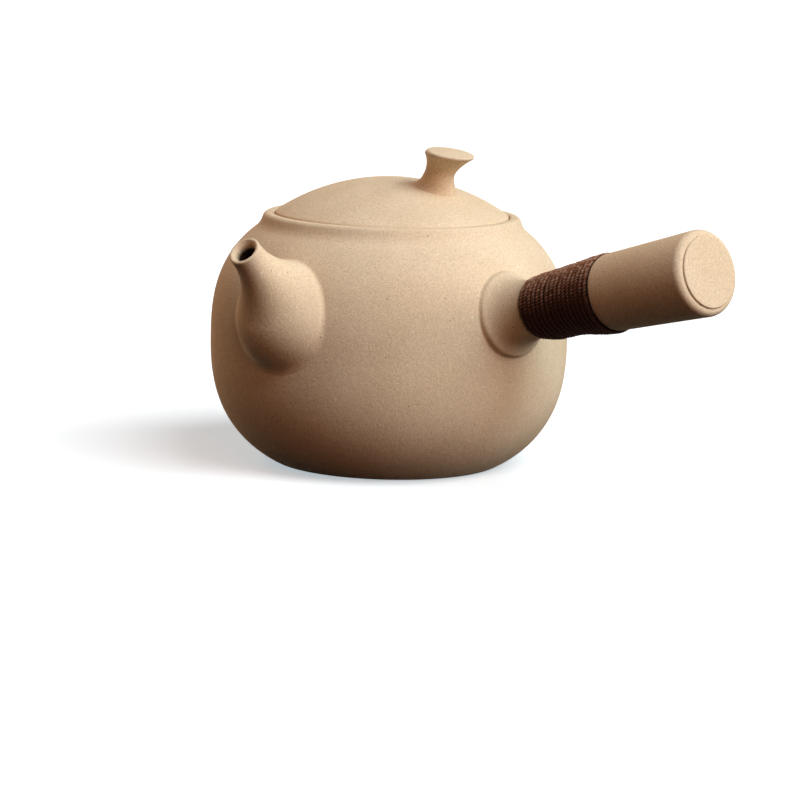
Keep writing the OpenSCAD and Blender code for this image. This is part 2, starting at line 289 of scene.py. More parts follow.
def curve(a, b, c, d, steps):
    """Points along a cubic curve, without its first point."""
    u = np.linspace(0, 1, steps + 1)[1:, None]
    points = [np.array(p, float) for p in (a, b, c, d)]
    weights = [(1 - u) ** 3, 3 * u * (1 - u) ** 2, 3 * u * u * (1 - u), u ** 3]
    return sum(w * p for w, p in zip(weights, points))


def rounded(corners, steps=7):
    """Outline through corners of (r, z, rounding), each rounded by an arc."""
    corners = np.array(corners, float)
    points = corners[:, :2]
    outline = []
    for i, here in enumerate(points):
        rounding = corners[i, 2]
        if rounding == 0 or i in (0, len(corners) - 1):
            outline.append(here[None])
            continue
        before = (points[i - 1] - here) / np.linalg.norm(points[i - 1] - here)
        after = (points[i + 1] - here) / np.linalg.norm(points[i + 1] - here)
        half = math.acos(float(np.clip(before @ after, -1, 1))) / 2
        reach = rounding / math.tan(half)
        middle = here + (before + after) / np.linalg.norm(before + after) * rounding / math.sin(half)
        start = here + before * reach - middle
        stop = here + after * reach - middle
        sweep = math.atan2(start[0] * stop[1] - start[1] * stop[0], start @ stop)
        turns = np.linspace(0, sweep, steps + 1)[:, None]
        across = np.array([-start[1], start[0]])
        outline.append(middle + np.cos(turns) * start + np.sin(turns) * across)
    return np.concatenate(outline)


def turned(outline, sides=SIDES):
    """Rows of points of an outline of (r, z) turned round the Z axis."""
    a = np.linspace(0, TURN, sides, endpoint=False)
    r = outline[:, 0][:, None]
    z = np.broadcast_to(outline[:, 1][:, None], (len(outline), sides))
    return np.stack([r * np.cos(a), r * np.sin(a), z], -1)


def eased(u):
    """Share that leaves zero and reaches one smoothly."""
    return u * u * (3 - 2 * u)


UP = np.array([0, 0, 1.0])
SPOUT_OUT = np.array([math.cos(SPOUT_TURN), math.sin(SPOUT_TURN), 0])
SPOUT_SIDE = np.array([-math.sin(SPOUT_TURN), math.cos(SPOUT_TURN), 0])
SPOUT_AXIS = math.cos(SPOUT_TILT) * SPOUT_OUT + math.sin(SPOUT_TILT) * UP
SPOUT_UP = math.cos(SPOUT_TILT) * UP - math.sin(SPOUT_TILT) * SPOUT_OUT
BALL_CENTRE = BALL_RHO * SPOUT_OUT + BALL_Z * UP
HANDLE_AXIS = np.array([0, math.cos(HANDLE_TILT), math.sin(HANDLE_TILT)])
HANDLE_UP = np.array([0, -math.sin(HANDLE_TILT), math.cos(HANDLE_TILT)])
HANDLE_SIDE = np.array([1.0, 0, 0])
HANDLE_ORIGIN = np.array([0, 0, HANDLE_Z])


def along_handle(points):
    """Points with Z along the handle, moved to the handle's place."""
    axes = np.stack([HANDLE_SIDE, HANDLE_UP, HANDLE_AXIS])
    return HANDLE_ORIGIN + points @ axes


def add_object(name, data):
    """New object in the scene."""
    thing = bpy.data.objects.new(name, data)
    bpy.context.scene.collection.objects.link(thing)
    return thing


def skin(name, rows, loop):
    """Object over rows of points, joined end to end as a loop or closed by a fan at each end."""
    count, sides = rows.shape[:2]
    points = rows.reshape(-1, 3)
    steps = count if loop else count - 1
    i, k = np.meshgrid(np.arange(steps), np.arange(sides), indexing="ij")
    up = (i + 1) % count
    on = (k + 1) % sides
    quads = np.stack([i * sides + k, i * sides + on, up * sides + on, up * sides + k], -1)
    faces = quads.reshape(-1, 4).tolist()
    if not loop:
        last = (count - 1) * sides
        middle = len(points)
        points = np.concatenate([points, [rows[0].mean(0)], [rows[-1].mean(0)]])
        faces += [(middle, (k + 1) % sides, k) for k in range(sides)]
        faces += [(middle + 1, last + k, last + (k + 1) % sides) for k in range(sides)]
    mesh = bpy.data.meshes.new(name)
    mesh.from_pydata((points * MM).tolist(), [], faces)
    outwards(mesh)
    return add_object(name, mesh)


def outwards(mesh):
    """Turns all faces outwards and shades them smooth."""
    form = bmesh.new()
    form.from_mesh(mesh)
    bmesh.ops.recalc_face_normals(form, faces=form.faces)
    form.to_mesh(mesh)
    form.free()
    mesh.shade_smooth()


def keep(piece, name, kind, field, values):
    """Stores values at the points of a skin. The middles of its ends take the first and last value."""
    if len(values) < len(piece.data.vertices):
        values = np.concatenate([values, values[:1], values[-1:]])
    layer = piece.data.attributes.new(name, kind, "POINT")
    layer.data.foreach_set(field, values.astype(np.float32).ravel())


def cut(piece, cutter, crease):
    """Cuts one object out of another and keeps the edges of the cut sharp."""
    step = piece.modifiers.new("cut", "BOOLEAN")
    step.operation = "DIFFERENCE"
    step.solver = "EXACT"
    step.object = cutter
    graph = bpy.context.evaluated_depsgraph_get()
    before = piece.data
    piece.data = bpy.data.meshes.new_from_object(piece.evaluated_get(graph))
    piece.modifiers.clear()
    bpy.data.meshes.remove(before)
    bpy.data.objects.remove(cutter)
    piece.data.shade_smooth()
    piece.data.set_sharp_from_angle(angle=crease)


# Fields: about the signed distance of points from a surface, negative inside

def unit(v):
    return v / np.linalg.norm(v, axis=-1, keepdims=True)


def gradient(field, points, step=0.01):
    """Slope of a field at points."""
    slopes = []
    for way in np.eye(3) * step:
        slopes.append((field(points + way) - field(points - way)) / (2 * step))
    return np.stack(slopes, -1)


def settle(field, points, rounds=6):
    """Moves points onto the surface of a field."""
    for _ in range(rounds):
        slope = gradient(field, points)
        size = np.maximum((slope ** 2).sum(-1), LEAST_SLOPE)
        points = points - (field(points) / size)[..., None] * slope
    return points


def merged(a, b, fillet):
    """Field of two surfaces that run into each other with a hollow fillet."""
    h = np.clip(0.5 + 0.5 * (b - a) / fillet, 0, 1)
    return b * (1 - h) + a * h - fillet * h * (1 - h)


UP_H = (SIDE_TOP_Z - WAIST_Z) / (1 - (SIDE_TOP_R / BODY_R) ** FULLNESS) ** (1 / FULLNESS)
DOWN_H = WAIST_Z / (1 - (BASE_R / BODY_R) ** FULLNESS) ** (1 / FULLNESS)


def pot_field(p):
    """Field of the pot's rounded side."""
    rise = p[..., 2] - WAIST_Z
    h = np.where(rise > 0, UP_H, DOWN_H)
    across = np.maximum(np.hypot(p[..., 0], p[..., 1]) / BODY_R, TINY)
    along = np.maximum(np.abs(rise) / h, TINY)
    value = across ** FULLNESS + along ** FULLNESS - 1
    slope = FULLNESS * np.hypot(across ** (FULLNESS - 1) / BODY_R, along ** (FULLNESS - 1) / h)
    return value / slope


def dome_field(p):
    """Field of the lid's outer dome."""
    return np.linalg.norm(p - DOME_CENTRE, axis=-1) - DOME_R


def cut_rows(rows, field, level, count):
    """Rows from the first one to where a field falls to a level, column by column."""
    inside = field(rows) <= level
    last = np.maximum(inside.argmax(0), 1)
    column = np.arange(rows.shape[1])
    high = field(rows[last - 1, column]) - level
    low = field(rows[last, column]) - level
    end = last - 1 + high / (high - low)
    place = np.linspace(0, 1, count)[:, None] * end
    floor = np.minimum(place.astype(int), rows.shape[0] - 2)
    share = (place - floor)[..., None]
    return rows[floor, column] * (1 - share) + rows[floor + 1, column] * share


def even_fillet(size):
    """Fillet of the same size everywhere."""
    return lambda p: np.full(p.shape[:-1], size)


def rooted(rows, piece_field, host_field, fillet, reach):
    """Rows of a piece cut off at its host, with a fillet that runs out on the host."""
    rows = cut_rows(rows, host_field, 0, ROOT_ROWS)
    edge = rows[-1]
    host_way = unit(gradient(host_field, edge))
    away = gradient(piece_field, edge)
    away = unit(away - (away * host_way).sum(-1, keepdims=True) * host_way)
    steps = np.linspace(0, 1, SKIRT_ROWS + 1)[1:, None, None]
    skirt = settle(host_field, edge + steps * reach * away)

    def both(p):
        return merged(piece_field(p), host_field(p), fillet(p))

    near = host_field(rows).min(1) < fillet(rows).max(1)
    rows[near] = settle(both, rows[near])
    skirt = settle(both, skirt)
    skirt -= SINK * steps ** 2 * unit(gradient(host_field, skirt))
    return np.concatenate([rows, skirt])


# Pot

def side_row(start, stop, grow, steps):
    """Outline of the pot's side between two heights, grown or drawn in by a wall."""
    z = np.linspace(start, stop, steps + 1)
    rise = z - WAIST_Z
    h = np.where(rise > 0, UP_H, DOWN_H) + grow
    r = (BODY_R + grow) * (1 - np.abs(rise / h) ** FULLNESS) ** (1 / FULLNESS)
    return np.stack([r, z], 1)


def side_point(z, grow):
    """Point of the pot's side at one height."""
    return side_row(z, z, grow, 0)[0]


def pot_outline():
    """Outline of the pot from the middle of its base, round the lip and back to its floor."""
    base = rounded([(TIP_R, 0, 0), (BASE_R, 0, BASE_ROUND), (*side_point(BASE_RUN_Z, 0), 0)])[:-1]
    low_side = side_row(base[-1, 1] + RUN_GAP, WAIST_Z, 0, SIDE_ROWS)
    high_side = side_row(WAIST_Z, LIP_FOOT_Z, 0, SHOULDER_ROWS)[1:]
    lip = rounded([(*high_side[-LIP_BLEND], 0), (*high_side[-1], LIP_FOOT_ROUND),
                   (LIP_TOP_R, RIM_Z, LIP_ROUND), (LIP_R, RIM_Z, LIP_INNER_ROUND),
                   (LIP_R, SEAT_Z, SEAT_ROUND), (MOUTH_R, SEAT_Z, MOUTH_ROUND),
                   (*side_point(INNER_TOP_Z, -WALL), 0)])[1:]
    inside = side_row(lip[-1, 1] - RUN_GAP, FLOOR_T + FLOOR_RISE, -WALL, SIDE_ROWS)
    floor_edge = (inside[-1, 0] - FLOOR_RUN, FLOOR_T, FLOOR_ROUND)
    floor = rounded([(*inside[-1], 0), floor_edge, (TIP_R, FLOOR_T, 0)])[1:]
    return np.concatenate([base, low_side, high_side[:-LIP_BLEND], lip, inside, floor])


def outlet_frame():
    """Place and outward direction of the hole behind the spout."""
    point = side_point(OUTLET_Z, 0)[0] * SPOUT_OUT + OUTLET_Z * UP
    return point, unit(gradient(pot_field, point[None]))[0]


def outlet_cutter():
    """Round rod that cuts the hole behind the spout."""
    point, out = outlet_frame()
    rod = turned(np.array([[OUTLET_R, -OUTLET_DEPTH], [OUTLET_R, WALL]]), OUTLET_SIDES)
    axes = np.stack([np.cross(SPOUT_SIDE, out), SPOUT_SIDE, out])
    return skin("outlet_cutter", point + rod @ axes, loop=False)


def make_pot():
    pot = skin("pot", turned(pot_outline()), loop=False)
    cut(pot, outlet_cutter(), CUT_CREASE)
    return pot


# Spout

def spout_radius(t):
    """Outside radius of the spout at a distance from the ball's centre: a ball, then a waisted neck."""
    ball = np.sqrt(np.clip(BALL_R ** 2 - t ** 2, 1, None))
    start_r = math.sqrt(BALL_R ** 2 - NECK_FROM ** 2)
    start_slope = -NECK_FROM / start_r
    length = SPOUT_LEN - NECK_FROM
    u = np.clip((t - NECK_FROM) / length, 0, 1)
    neck = ((2 * u ** 3 - 3 * u ** 2 + 1) * start_r + (u ** 3 - 2 * u ** 2 + u) * length * start_slope
            + (3 * u ** 2 - 2 * u ** 3) * SPOUT_MOUTH_R + (u ** 3 - u ** 2) * length * SPOUT_FLARE)
    return np.where(t < NECK_FROM, ball, neck)


def spout_rows(t, r):
    """Rows of points round the spout at distances t with radii r."""
    a = np.linspace(0, TURN, SIDES, endpoint=False)
    middle = BALL_CENTRE + t[:, None] * SPOUT_AXIS
    round_way = np.cos(a)[:, None] * SPOUT_SIDE + np.sin(a)[:, None] * SPOUT_UP
    return middle[:, None, :] + r[:, None, None] * round_way


def spout_field(p):
    """Field of the spout's outside."""
    q = p - BALL_CENTRE
    t = q @ SPOUT_AXIS
    step = 0.05
    slope = (spout_radius(t + step) - spout_radius(t - step)) / (2 * step)
    return (np.hypot(q @ SPOUT_UP, q @ SPOUT_SIDE) - spout_radius(t)) / np.sqrt(1 + slope ** 2)


def spout_fillet(p):
    """Size of the fillet at the spout's root: tight on top and wide below."""
    u = np.clip((FILLET_TOP_Z - p[..., 2]) / (FILLET_TOP_Z - FILLET_LOW_Z), 0, 1)
    return SPOUT_FILLET_TOP + (SPOUT_FILLET_LOW - SPOUT_FILLET_TOP) * eased(u)


def spout_wall(t):
    """Clay wall of the spout, which thins at the mouth."""
    u = np.clip(1 - (SPOUT_LEN - t) / SPOUT_LIP_LEN, 0, 1)
    return SPOUT_WALL + (SPOUT_LIP_T - SPOUT_WALL) * u * u


def make_spout():
    lip_r = SPOUT_LIP_T / 2
    t = np.linspace(SPOUT_LEN - lip_r, SPOUT_ROOT_T, SPOUT_ROWS)
    outside = rooted(spout_rows(t, spout_radius(t)), spout_field, pot_field, spout_fillet, SPOUT_SKIRT)
    channel = spout_rows(t, spout_radius(t) - spout_wall(t))
    channel = cut_rows(channel, pot_field, CHANNEL_END, CHANNEL_ROWS)[::-1]
    lip = arc([SPOUT_MOUTH_R - lip_r, SPOUT_LEN - lip_r], lip_r, lip_r, 180, 0, LIP_STEPS)[1:-1]
    lip_rows = spout_rows(lip[:, 1], lip[:, 0])
    piece = skin("spout_clay", np.concatenate([channel, lip_rows, outside]), loop=True)
    # Painted shade: the clay of the bore turns near black with depth, where only shade falls
    depth = SPOUT_LEN - lip_r - (channel - BALL_CENTRE) @ SPOUT_AXIS
    bore_shade = np.zeros(len(piece.data.vertices))
    bore_shade[:depth.size] = np.clip((depth - BORE_SHADE_FROM) / BORE_SHADE_LEN, 0, 1).ravel()
    keep(piece, "bore_shade", "FLOAT", "value", bore_shade)
    return piece


# Handle

def socket_outline():
    """Outside of the handle's socket from the shoulder of the grip down into the pot."""
    collar = arc([COLLAR_R - COLLAR_ROUND, ROOT_S], COLLAR_ROUND, COLLAR_ROUND, COLLAR_FLARE, 0, COLLAR_STEPS)
    edge_s = BOUND_S - NECK_ROUND
    pull = NECK_LEN / 2
    flare = math.radians(COLLAR_FLARE)
    run_in = pull / 2 * np.array([-math.sin(flare), math.cos(flare)])
    sleeve = np.array([[BOUND_END_R - SLEEVE_GAP, SOCKET_END_S], [BOUND_START_R - SLEEVE_GAP, BOUND_S]])
    neck_edge = arc([NECK_R - NECK_ROUND, edge_s], NECK_ROUND, NECK_ROUND, 90, 0, NECK_EDGE_STEPS)
    neck = curve((NECK_R, edge_s), (NECK_R, edge_s - pull), collar[0] + run_in, collar[0], NECK_STEPS)[:-1]
    root = np.array([[COLLAR_R, s] for s in np.linspace(ROOT_S, ROOT_S - COLLAR_DEPTH, COLLAR_ROWS)[1:]])
    return np.concatenate([sleeve, neck_edge, neck, collar, root])


def dense(outline, step):
    """Outline with points at an even step along its length."""
    length = np.concatenate([[0], np.cumsum(np.linalg.norm(np.diff(outline, axis=0), axis=1))])
    count = int(length[-1] / step)
    at = np.linspace(0, length[-1], count + 1)
    return np.stack([np.interp(at, length, outline[:, i]) for i in (0, 1)], 1)


def collar_field(p):
    """Field of the collar's round edge."""
    q = p - HANDLE_ORIGIN
    return np.hypot(q @ HANDLE_SIDE, q @ HANDLE_UP) - COLLAR_R


def make_socket():
    rows = along_handle(turned(dense(socket_outline(), SOCKET_STEP)))
    outside = rooted(rows, collar_field, pot_field, even_fillet(COLLAR_FILLET), 2 * COLLAR_FILLET)
    bore_s = np.linspace(SOCKET_END_S, ROOT_S - SOCKET_BORE_DEPTH, SOCKET_BORE_STEPS)
    bore = np.array([[SOCKET_BORE_R, s] for s in bore_s])
    bore_rows = cut_rows(along_handle(turned(bore)), pot_field, -SINK, SOCKET_BORE_ROWS)[::-1]
    return skin("socket_clay", np.concatenate([outside, bore_rows]), loop=True)


def make_grip():
    tip_s = SHOULDER_S - SPIGOT_LEN
    round_s = END_S - GRIP_ROUND_LEN
    start = [(SPIGOT_BORE_R, tip_s, 0), (SPIGOT_R, tip_s, SPIGOT_ROUND), (SPIGOT_R, SHOULDER_S, 0),
             (GRIP_START_R, SHOULDER_S, GRIP_EDGE_ROUND), (GRIP_END_R, round_s, 0)]
    end = arc([GRIP_FACE_R, round_s], GRIP_ROUND, GRIP_ROUND_LEN, 0, 90, GRIP_END_STEPS)
    bore = [(GRIP_FACE_R - GRIP_FACE_W, END_S, 0), (GRIP_BORE_R, END_S, GRIP_BORE_EDGE),
            (GRIP_BORE_R, SHOULDER_S + GRIP_BORE_R, GRIP_BORE_ROUND),
            (SPIGOT_BORE_R, SHOULDER_S + SPIGOT_BORE_R, SPIGOT_BORE_ROUND), (SPIGOT_BORE_R, tip_s, 0)]
    outline = np.concatenate([rounded(start)[:-1], end, rounded(bore)[:-1]])
    return skin("grip_clay", along_handle(turned(outline)), loop=True)


def make_plug():
    low_s = END_S - PLUG_STEM_LEN
    head_s = END_S + PLUG_GAP
    top_s = END_S + PLUG_HEAD_T
    outline = rounded([(TIP_R, low_s, 0), (PLUG_STEM_R, low_s, PLUG_STEM_ROUND), (PLUG_STEM_R, head_s, 0),
                       (PLUG_R, head_s, PLUG_UNDER_ROUND), (PLUG_R, top_s, PLUG_ROUND),
                       (TIP_R, top_s + PLUG_CROWN, 0)])
    return skin("plug_clay", along_handle(turned(outline)), loop=False)


# Binding

def binding_path():
    """Middle of the cord, its outward direction and its length so far, all in the handle's frame."""
    turn = np.linspace(0, CORD_TURNS, CORD_TURNS * CORD_RINGS + 1)
    a = TURN * turn + math.pi
    step = np.clip((turn % 1 - 1 + CORD_STEP) / CORD_STEP, 0, 1)
    place = np.minimum(np.floor(turn) + eased(step), CORD_TURNS - 1)
    s = BOUND_S + CORD_R + CORD_PITCH * place
    share = (s - BOUND_S) / BOUND_LEN
    sleeve = BOUND_START_R + (BOUND_END_R - BOUND_START_R) * share
    swell = np.interp(share, *CORD_SWELL.T) * (CORD_SWELL_EVEN - CORD_SWELL_LOW * np.sin(a))
    uneven = sum(height * np.sin(waves * a) for height, waves in CORD_WAVES)
    tuck = np.clip(np.minimum(turn, CORD_TURNS - turn) / CORD_TUCK, 0, 1)
    r = sleeve + swell + uneven + CORD_R * (2 * tuck * (2 - tuck) - 1)
    points = np.stack([r * np.cos(a), r * np.sin(a), s], 1)
    out = np.stack([np.cos(a), np.sin(a), 0 * a], 1)
    length = np.concatenate([[0], np.cumsum(np.linalg.norm(np.diff(points, axis=0), axis=1))])
    return points, out, length


def make_binding():
    """One cord of twisted strands, wound tight, with its fibre directions kept for the material."""
    points, out, length = binding_path()
    ahead = unit(np.gradient(points, axis=0))
    side = unit(np.cross(ahead, out))
    top = np.cross(side, ahead)
    a = np.linspace(0, TURN, CORD_SIDES, endpoint=False)
    lay = a[None, :] - (TURN * length / CORD_LAY_LEN)[:, None]
    crest = np.abs(np.cos(CORD_STRANDS * lay / 2))
    r = CORD_R * (1 + CORD_LOBE * (CORD_CREST * crest - 1))
    rows = (points[:, None, :] + (r * np.cos(a))[..., None] * side[:, None, :]
            + (r * np.sin(a))[..., None] * top[:, None, :])
    piece = skin("cord_winding", along_handle(rows), loop=False)
    run = np.broadcast_to(length[:, None], lay.shape)
    fibre = np.stack([np.cos(lay), np.sin(lay), run], -1).reshape(-1, 3)
    keep(piece, "fibre", "FLOAT_VECTOR", "vector", fibre)
    # Strand crests and the outward side of each turn, which the material uses to paint shade between strands
    # and between turns
    keep(piece, "crest", "FLOAT", "value", crest.ravel())
    keep(piece, "outer", "FLOAT", "value", np.tile(np.sin(a), len(points)))
    return piece


# Lid

def make_dome():
    inner = TONGUE_R - TONGUE_T
    edge_a = math.degrees(math.asin(LID_R / DOME_R))
    dome = arc(DOME_CENTRE[[0, 2]], DOME_R, DOME_R, DOME_START, 90 - edge_a, DOME_STEPS)
    edge = rounded([(*dome[-EDGE_BLEND], 0), (LID_R, EDGE_Z, EDGE_ROUND), (LID_R, SEAT_Z, EDGE_LOW_ROUND),
                    (inner, SEAT_Z, 0)])
    rise = APEX_Z - SEAT_Z - LID_WALL
    hollow_r = (inner ** 2 + rise ** 2) / (2 * rise)
    hollow_a = math.degrees(math.asin(inner / hollow_r))
    hollow = arc([0, SEAT_Z + rise - hollow_r], hollow_r, hollow_r, 90 - hollow_a, DOME_START, HOLLOW_STEPS)
    return skin("dome_clay", turned(np.concatenate([dome[:-EDGE_BLEND], edge, hollow[1:]])), loop=False)


def make_tongue():
    inner = TONGUE_R - TONGUE_T
    seam = (inner, SEAT_Z - TONGUE_SEAM, 0)
    outline = rounded([seam, (inner, TONGUE_Z, TONGUE_ROUND), (TONGUE_R, TONGUE_Z, TONGUE_ROUND),
                       (TONGUE_R, SEAT_Z, 0), (inner, SEAT_Z, 0), seam])[:-1]
    return skin("tongue_clay", turned(outline), loop=True)


def dome_level(rho):
    """Height of the dome's outside at a distance from the lid's axis."""
    return DOME_CENTRE[2] + np.sqrt(DOME_R ** 2 - rho ** 2)


KNOB_OUT = np.array([math.cos(KNOB_TURN), math.sin(KNOB_TURN), 0])
KNOB_SIDE = np.array([-math.sin(KNOB_TURN), math.cos(KNOB_TURN), 0])
KNOB_FOOT_Z = dome_level(KNOB_OFF)


def knob_outline():
    """Outline of the knob as radius and height, from the middle of its top down into the dome."""
    rim_middle = [KNOB_TOP_R - KNOB_RIM_R, KNOB_H - KNOB_RIM_R]
    top = np.array([[KNOB_TIP_R, KNOB_H + KNOB_CROWN],
                    [KNOB_TOP_R / 2, KNOB_H + KNOB_CROWN_SHARE * KNOB_CROWN]])
    rim = arc(rim_middle, KNOB_RIM_R, KNOB_RIM_R, 90, -KNOB_UNDERCUT, KNOB_RIM_STEPS)
    waist = (KNOB_WAIST_R, KNOB_WAIST_H)
    over_waist = (KNOB_WAIST_R, KNOB_WAIST_H + KNOB_WAIST_PULL_UP)
    throat = curve(rim[-1], rim[-1] - KNOB_RIM_PULL, over_waist, waist, KNOB_CURVE_STEPS)
    edge = np.array([KNOB_FOOT_R, KNOB_FOOT_T])
    under_waist = (KNOB_WAIST_R, KNOB_WAIST_H - KNOB_WAIST_PULL_DOWN)
    over_foot = (KNOB_WAIST_R + KNOB_FOOT_PULL_OUT, KNOB_FOOT_T + KNOB_FOOT_PULL_UP)
    foot = curve(waist, under_waist, over_foot, edge, KNOB_CURVE_STEPS)
    depths = np.linspace(0, KNOB_ROOT_LEN, KNOB_ROOT_ROWS)[1:]
    root = np.array([edge + (KNOB_ROOT_SLOPE * d, -d) for d in depths])
    return np.concatenate([top, rim, throat, foot, root])


def foot_share(h):
    """One at the knob's foot, which follows the dome and stands to one side, and zero above the waist."""
    return 1 - eased(np.clip(h / KNOB_WAIST_H, 0, 1))


def knob_rows(outline):
    """Rows of points round the leaning knob."""
    a = np.linspace(0, TURN, SIDES, endpoint=False)
    r = outline[:, 0][:, None]
    h = outline[:, 1][:, None]
    tilt = KNOB_TILT * np.clip(h / KNOB_H, 0, 1)
    along = KNOB_OFF + h * math.tan(KNOB_LEAN) + r * np.cos(a) * np.cos(tilt)
    across = KNOB_FOOT_SIDE * foot_share(h) + r * np.sin(a)
    drop = dome_level(np.hypot(along, across)) - KNOB_FOOT_Z
    level = KNOB_FOOT_Z + h - r * np.cos(a) * np.sin(tilt) + foot_share(h) * drop
    return along[..., None] * KNOB_OUT + across[..., None] * KNOB_SIDE + level[..., None] * UP


def knob_field(p):
    """Field of the knob's foot, below its waist."""
    radii, heights = knob_outline()[::-1].T
    rise = p[..., 2] - KNOB_FOOT_Z
    drop = dome_level(np.hypot(p[..., 0], p[..., 1])) - KNOB_FOOT_Z
    h = rise - drop
    for _ in range(FOOT_ROUNDS):
        h = rise - foot_share(h) * drop
    along = p @ KNOB_OUT - KNOB_OFF - h * math.tan(KNOB_LEAN)
    r = np.interp(h, heights, radii)
    step = 0.1
    slope = (np.interp(h + step, heights, radii) - np.interp(h - step, heights, radii)) / (2 * step)
    across = p @ KNOB_SIDE - KNOB_FOOT_SIDE * foot_share(h)
    return (np.hypot(along, across) - r) / np.sqrt(1 + slope ** 2)


def make_knob():
    rows = knob_rows(dense(knob_outline(), KNOB_STEP))
    rows = rooted(rows, knob_field, dome_field, even_fillet(KNOB_FILLET), 2 * KNOB_FILLET)
    return skin("knob_clay", rows, loop=False)


# Materials

class Nodes:
    """Short ways to add and link shader nodes."""

    def __init__(self, tree):
        self.tree = tree
        self.tree.nodes.clear()

    def add(self, kind, **settings):
        node = self.tree.nodes.new(kind)
        for key, value in settings.items():
            setattr(node, key, value)
        return node

    def link(self, out, into):
        self.tree.links.new(out, into)

    def put(self, into, value):
        """Feeds a socket from another socket or a plain value."""
        if isinstance(value, bpy.types.NodeSocket):
            self.link(value, into)
        else:
            into.default_value = value

    def noise(self, vector, scale, detail, rough):
        node = self.add("ShaderNodeTexNoise")
        self.link(vector, node.inputs["Vector"])
        node.inputs["Scale"].default_value = scale
        node.inputs["Detail"].default_value = detail
        node.inputs["Roughness"].default_value = rough
        return node.outputs["Fac"]

    def cells(self, vector, scale):
        """Distance to the nearest of scattered points, and a random colour for each point."""
        node = self.add("ShaderNodeTexVoronoi")
        self.link(vector, node.inputs["Vector"])
        node.inputs["Scale"].default_value = scale
        return node.outputs["Distance"], node.outputs["Color"]

    def ramp(self, value, low, high, to_low=0.0, to_high=1.0):
        """Maps a range of a value smoothly onto another range."""
        node = self.add("ShaderNodeMapRange", interpolation_type="SMOOTHSTEP")
        self.link(value, node.inputs["Value"])
        for name, number in zip(("From Min", "From Max", "To Min", "To Max"), (low, high, to_low, to_high)):
            node.inputs[name].default_value = number
        return node.outputs["Result"]

    def math(self, operation, a, b):
        node = self.add("ShaderNodeMath", operation=operation)
        self.put(node.inputs[0], a)
        self.put(node.inputs[1], b)
        return node.outputs["Value"]

    def mix(self, share, a, b, blend="MIX"):
        """Mixes two colours."""
        node = self.add("ShaderNodeMix", data_type="RGBA", blend_type=blend)
        self.put(node.inputs["Factor"], share)
        self.put(node.inputs["A"], a)
        self.put(node.inputs["B"], b)
        return node.outputs["Result"]

    def bump(self, height, strength, distance, normal=None):
        node = self.add("ShaderNodeBump")
        node.inputs["Strength"].default_value = strength
        node.inputs["Distance"].default_value = distance * MM
        self.link(height, node.inputs["Height"])
        if normal is not None:
            self.link(normal, node.inputs["Normal"])
        return node.outputs["Normal"]


def new_material(name):
    material = bpy.data.materials.new(name)
    material.use_nodes = True
    return material, Nodes(material.node_tree)


def millimetres(nodes):
    """Place on the object in millimetres."""
    place = nodes.add("ShaderNodeTexCoord")
    scale = nodes.add("ShaderNodeVectorMath", operation="SCALE")
    nodes.link(place.outputs["Object"], scale.inputs[0])
    scale.inputs["Scale"].default_value = 1 / MM
    return scale.outputs["Vector"]


SPECK_EDGE = 0.03


def specks(nodes, place, scale, size, share):
    """Mask of scattered specks: their spacing, their size and the share of the points that show."""
    distance, chance = nodes.cells(place, scale)
    split = nodes.add("ShaderNodeSeparateColor")
    nodes.link(chance, split.inputs["Color"])
    reach = nodes.math("MULTIPLY", split.outputs["Green"], size)
    dot = nodes.ramp(nodes.math("SUBTRACT", distance, reach), -SPECK_EDGE, SPECK_EDGE, 1.0, 0.0)
    shown = nodes.math("LESS_THAN", split.outputs["Red"], share)
    return nodes.math("MULTIPLY", dot, shown)


def finish_surface(nodes, colour, roughness, normal, specular):
    """Adds the shader of a material and its output."""
    shader = nodes.add("ShaderNodeBsdfPrincipled")
    nodes.link(colour, shader.inputs["Base Color"])
    nodes.link(roughness, shader.inputs["Roughness"])
    nodes.link(normal, shader.inputs["Normal"])
    shader.inputs["Specular IOR Level"].default_value = specular
    out = nodes.add("ShaderNodeOutputMaterial")
    nodes.link(shader.outputs["BSDF"], out.inputs["Surface"])


CLAY_PALE = (0.775, 0.59, 0.40, 1)
CLAY_DEEP = (0.735, 0.548, 0.359, 1)
SPECK_DARK = (0.16, 0.085, 0.045, 1)
SPECK_PALE = (0.89, 0.79, 0.64, 1)
# Near-black colour painted deep in the spout's bore as shade
BORE_SHADE_COLOUR = (0.012, 0.006, 0.004, 1)
SPECK_PALE_SHARE = 0.8
SPECK_DARK_SHARE = 0.6
PIT_DEPTH = -0.8
CLAY_SPECULAR = 0.08


